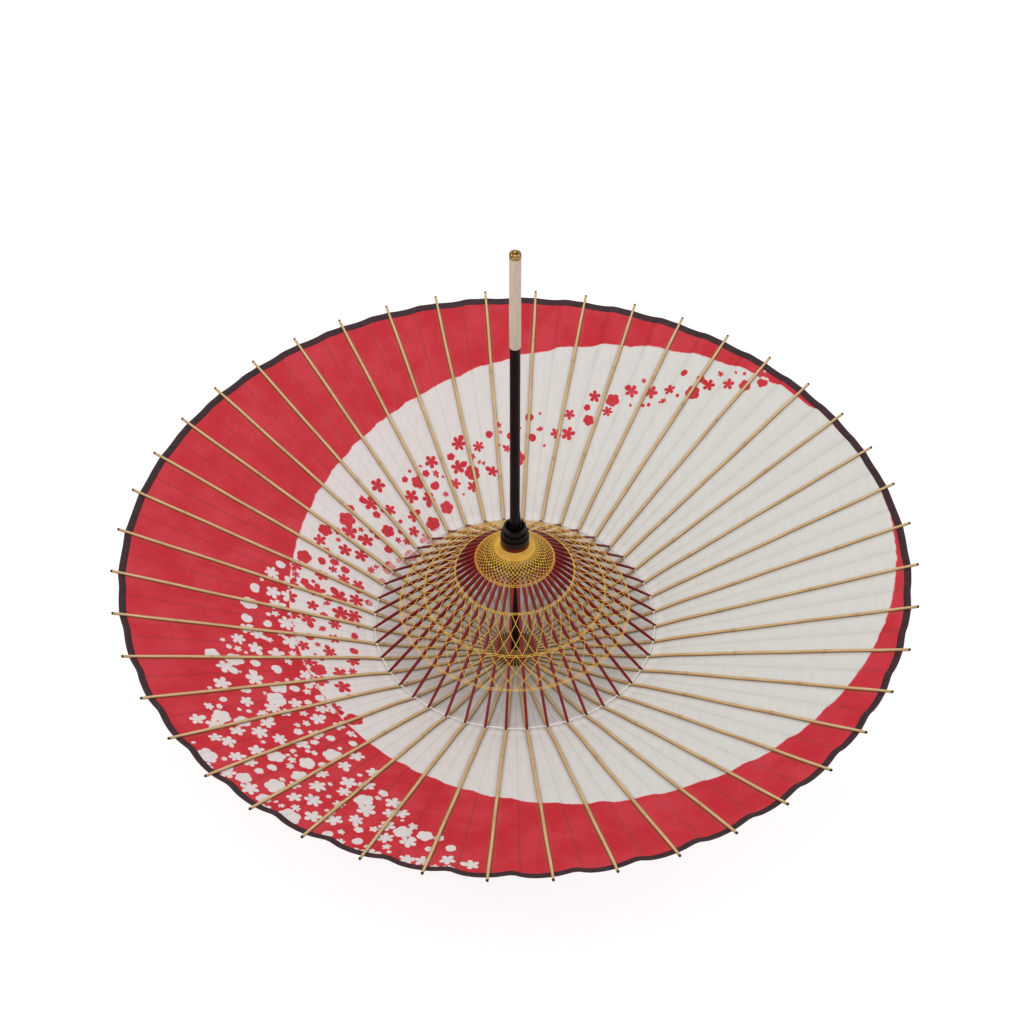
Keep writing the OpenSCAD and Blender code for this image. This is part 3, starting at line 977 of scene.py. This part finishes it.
def lacing_paths():
    """Every thread as (points of azimuth and x, radius of the thread, lift)."""
    paths = []

    def ring(radius, wire, lift=0.0):
        x = lacing_x(radius)
        points = [(-PITCH / 2 + PITCH / 2 * k, x) for k in range(4 * HOSTS + 1)]
        paths.append((points, wire, lift))

    def cross(r0, r1, span, wire, steps, phase=0.0):
        """Two threads from each rib, which cross span ribs either way between two radii."""
        x0, x1 = lacing_x(r0), lacing_x(r1)
        for k in range(2 * HOSTS):
            for way in (-1, 1):
                start = (k + phase) * PITCH
                points = []
                for s in range(steps + 1):
                    t = s / steps
                    points.append((start + way * span * PITCH * t, x0 + (x1 - x0) * t))
                paths.append((points, wire, OVER if way > 0 else 0.0))

    for j in range(WOUND, TURNS):
        ring(FIRST_TURN + TURN_STEP * j, TURN_R)
    cross(NET_IN, NET_OUT, 6.0, NET_R, 12)
    cross(NET_IN, NET_MIDDLE, 3.0, NET_THIN_R, 6, 0.5)
    ring(NET_OUT, LACING_R, 0.15)
    ring(NET_RIM, LACING_R)
    for radius in LATTICE:
        ring(radius, LACING_R, 0.2)
        ring(radius + RING_STEP, LACING_R, 0.1)
    inner, middle, outer = LATTICE
    cross(inner, middle, 2.0, LACING_R, 4)
    cross(middle, outer, 2.0, LACING_R, 4, 0.5)
    return paths


def make_lacing():
    sectors = {i: Parts() for i in range(1, HOSTS + 1)}
    for path, wire, lift in lacing_paths():
        for owner, run in sector_runs(path):
            points = [stretcher_point(a, x, LACING_LIFT + lift) for a, x in run]
            sectors[owner].tube(points, wire, THREAD_SIDES)
    for i, parts in sectors.items():
        name, body = f"lacing_{i:02d}", f"stretcher_{i:02d}"
        piece = parts.piece(name, "yellow", body, "yellow_thread", sharp=80)
        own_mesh(piece)
        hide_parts("lacing")


def make_winding():
    """The first turns of yellow thread, wound round the runner's foot: they stay with the runner."""
    parts = Parts()
    for j in range(WOUND):
        x = lacing_x(FIRST_TURN + TURN_STEP * j)
        points = [stretcher_point(PITCH / 2 * k, x, LACING_LIFT) for k in range(4 * HOSTS)]
        parts.tube(points, TURN_R, THREAD_SIDES, closed=True)
    piece = parts.piece("runner_winding", "yellow", "runner", "yellow_thread", sharp=80)
    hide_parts("lacing")


def knee_turn(azimuth, x):
    """One turn round the rib and stretcher at a knee, leaning a little."""
    loop = []
    for s in range(KNEE_TURN_POINTS):
        t = 2 * math.pi * s / KNEE_TURN_POINTS
        up, side = KNEE_TURN_UP * math.sin(t), KNEE_TURN_SIDE * math.cos(t)
        loop.append(rib_point(azimuth, x - up * 0.2, up - 1.1, side))
    return loop


def make_knee_thread():
    """White thread from knee to knee, with three turns round each stretcher's end."""
    for i in range(1, HOSTS + 1):
        host = (i - 1) * SECTOR
        parts = Parts()
        knees = [Vector(rib_point(host + d * PITCH, KNEE_X, 0)) for d in (-1, 0, 1, 2)]
        line = [knees[0].lerp(knees[1], 0.5), knees[1], knees[2], knees[2].lerp(knees[3], 0.5)]
        parts.tube(line, 1.5 * KNEE_THREAD, sides=6)
        for azimuth in (host, host + PITCH):
            for turn in (-1, 0, 1):
                loop = knee_turn(azimuth, KNEE_X + turn * KNEE_TURN_STEP)
                parts.tube(loop, KNEE_TURN_R, THREAD_SIDES, closed=True)
        name, body = f"knee_thread_{i:02d}", f"rib_{i:02d}"
        piece = parts.piece(name, "white", body, "white_thread", sharp=80)
        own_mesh(piece)
        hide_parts("knee_thread")


# ---------------------------------------------------------------- turned pieces
CAP_RIM = 6.5
CAP_LOBES = 10
BUD_LOBES = 8
COVER_R = 22.5
COVER_LIP = HEAD_Z - 4
COVER_BORE = 19.5
COVER_BED = HEAD_Z - 14
BRIM_R = 25.8
BRIM_Z = HEAD_Z + 0.9


def make_grip():
    r = GRIP_R
    low, high = GRIP_BOTTOM, GRIP_TOP
    outline = [(SHAFT_R, low), (r - 0.9, low), (r - 0.35, low + 0.35), (r, low + 1.2)]
    outline += [(r, low + 30), (r - 0.12, low + 54), (r, high - 20)]
    outline += [(r, high - 0.6), (r - 0.4, high), (SHAFT_R, high)]
    piece = lathe("grip_sleeve", outline, "grip", "shaft", "grip_wood", sides=72)
    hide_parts("grip")


def make_end_cap():
    """The brass cap: a grooved ring, a lobed edge, and a small lobed bud in the middle."""
    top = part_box("end_cap")[1].z / MM
    low = GRIP_TOP
    deck = low + CAP_RIM
    r = GRIP_R
    rows = [
        ((0, low), PLAIN), ((r - 0.3, low), PLAIN), ((r, low + 0.3), PLAIN),
        ((r, low + 1.4), PLAIN), ((r - 0.35, low + 1.65), GROOVE),
        ((r - 0.35, low + 1.95), GROOVE), ((r, low + 2.2), PLAIN),
        ((r, deck - 2.4), PLAIN), ((r - 0.3, deck - 1.6), (CAP_LOBES, 0.15)),
        ((r - 1.2, deck - 0.75), (CAP_LOBES, 0.4)), ((r - 1.9, deck - 0.3), (CAP_LOBES, 0.4)),
        ((r - 2.4, deck - 0.35), (CAP_LOBES, 0.1)), ((r - 2.8, deck - 0.5), GROOVE),
        ((2.75, deck - 0.4), GROOVE), ((2.55, deck + 0.2), (BUD_LOBES, 0.1)),
        ((2.2, deck + 0.9), (BUD_LOBES, 0.14)), ((1.6, top - 0.45), (BUD_LOBES, 0.1)),
        ((0.9, top - 0.12), (BUD_LOBES, 0.03)), ((0, top - 0.02), PLAIN),
    ]
    outline = [place for place, _ in rows]
    waves = [wave for _, wave in rows]
    piece = lathe("brass_cap", outline, "brass", "shaft", "brass", 96, waves)
    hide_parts("end_cap")


def arc(centre_r, centre_z, radius, start, end, steps):
    """Points of a turned outline along a round corner, angles in degrees."""
    angles = [math.radians(start + (end - start) * i / steps) for i in range(steps + 1)]
    return [(centre_r + radius * math.cos(a), centre_z + radius * math.sin(a)) for a in angles]


def make_head_cap():
    """The head cover, with a thin brim that rises under the ribs to meet the paper."""
    r, lip, bore = COVER_R, COVER_LIP, COVER_BORE
    outline = [(0, BASE_Z + 0.6), (3, BASE_Z + 0.15), (13, BASE_Z)]
    outline += arc(13.5, BASE_Z + 9, 9, -88, 0, 10)
    outline += [(r, lip - 2.0), (r + 0.5, lip - 1.0)]
    outline += [(BRIM_R - 0.1, BRIM_Z - 0.4), (BRIM_R, BRIM_Z - 0.1), (BRIM_R - 0.3, BRIM_Z)]
    outline += [(r - 0.2, lip), (bore, lip), (bore, COVER_BED), (SHAFT_R, COVER_BED)]
    outline += [(SHAFT_R, BASE_Z + 3), (0, BASE_Z + 3)]
    piece = lathe("head_shell", outline, "head", "shaft", "head_lacquer", sides=96)
    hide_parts("head_cap")


# ---------------------------------------------------------------- shown CAD nodes
def dress_nodes():
    """Gives the CAD nodes that still show their materials."""
    dress = {
        "shaft": "shaft",
        "latch": "latch",
        "latch_pin": "brass",
        "head_hub": "hub",
        "head_thread": "twine",
        "runner_hub": "runner",
        "runner_collar": "collar",
        "runner_thread": "white",
    }
    for node, finish in dress.items():
        mesh = frame["nodes"][node].data
        mesh.materials.clear()
        mesh.materials.append(FINISH[finish])


# ---------------------------------------------------------------- floor and light
SKY_LIGHT = 0.45
SKY_SEEN = 0.95
FLOOR_SIZE = 30
FLOOR_GLOW = 0.78
FLOOR_TONE = 0.3
LIGHTS_AIM = (0, 0, FOOT + 0.1)

# Place and size in metres, and power in watts
LIGHTS = {
    "key": ((-1.3, -1.2, 2.6), 2.4, 60),
    "fill": ((2.0, -0.8, 2.3), 2.6, 32),
    "back": ((0.3, 2.0, 2.2), 2.4, 20),
}


def make_floor():
    bpy.ops.mesh.primitive_plane_add(size=FLOOR_SIZE, location=(0, 0, BASE_Z * MM))
    floor = bpy.context.object
    floor.name = "floor"
    glow = {"Emission_Color": (1, 1, 1, 1), "Emission_Strength": FLOOR_GLOW}
    f = Finish("floor_white", Roughness=0.9, **glow)
    f.colour((FLOOR_TONE, FLOOR_TONE, FLOOR_TONE, 1))
    floor.data.materials.append(f.material)


def make_sky():
    """White light from all round, brighter where it shows behind the floor than as light."""
    world = bpy.data.worlds.new("studio")
    bpy.context.scene.world = world
    world.use_nodes = True
    sky = world.node_tree.nodes["Background"]
    sky.inputs["Color"].default_value = (1, 1, 1, 1)
    seen = world.node_tree.nodes.new("ShaderNodeLightPath")
    glow = world.node_tree.nodes.new("ShaderNodeMath")
    glow.operation = "MULTIPLY_ADD"
    glow.inputs[1].default_value = SKY_SEEN - SKY_LIGHT
    glow.inputs[2].default_value = SKY_LIGHT
    world.node_tree.links.new(seen.outputs["Is Camera Ray"], glow.inputs[0])
    world.node_tree.links.new(glow.outputs[0], sky.inputs["Strength"])


def make_lights():
    for name, (place, size, power) in LIGHTS.items():
        data = bpy.data.lights.new(name, "AREA")
        data.size = size
        data.energy = power
        lamp = bpy.data.objects.new(name, data)
        bpy.context.scene.collection.objects.link(lamp)
        lamp.location = place
        aim = Vector(LIGHTS_AIM) - lamp.location
        lamp.rotation_euler = aim.to_track_quat("-Z", "Y").to_euler()


make_ribs()
make_stretchers()
make_paper()
make_lacing()
make_winding()
make_knee_thread()
make_grip()
make_end_cap()
make_head_cap()
dress_nodes()
make_floor()
make_sky()
make_lights()
bpy.context.scene.view_settings.view_transform = "Standard"
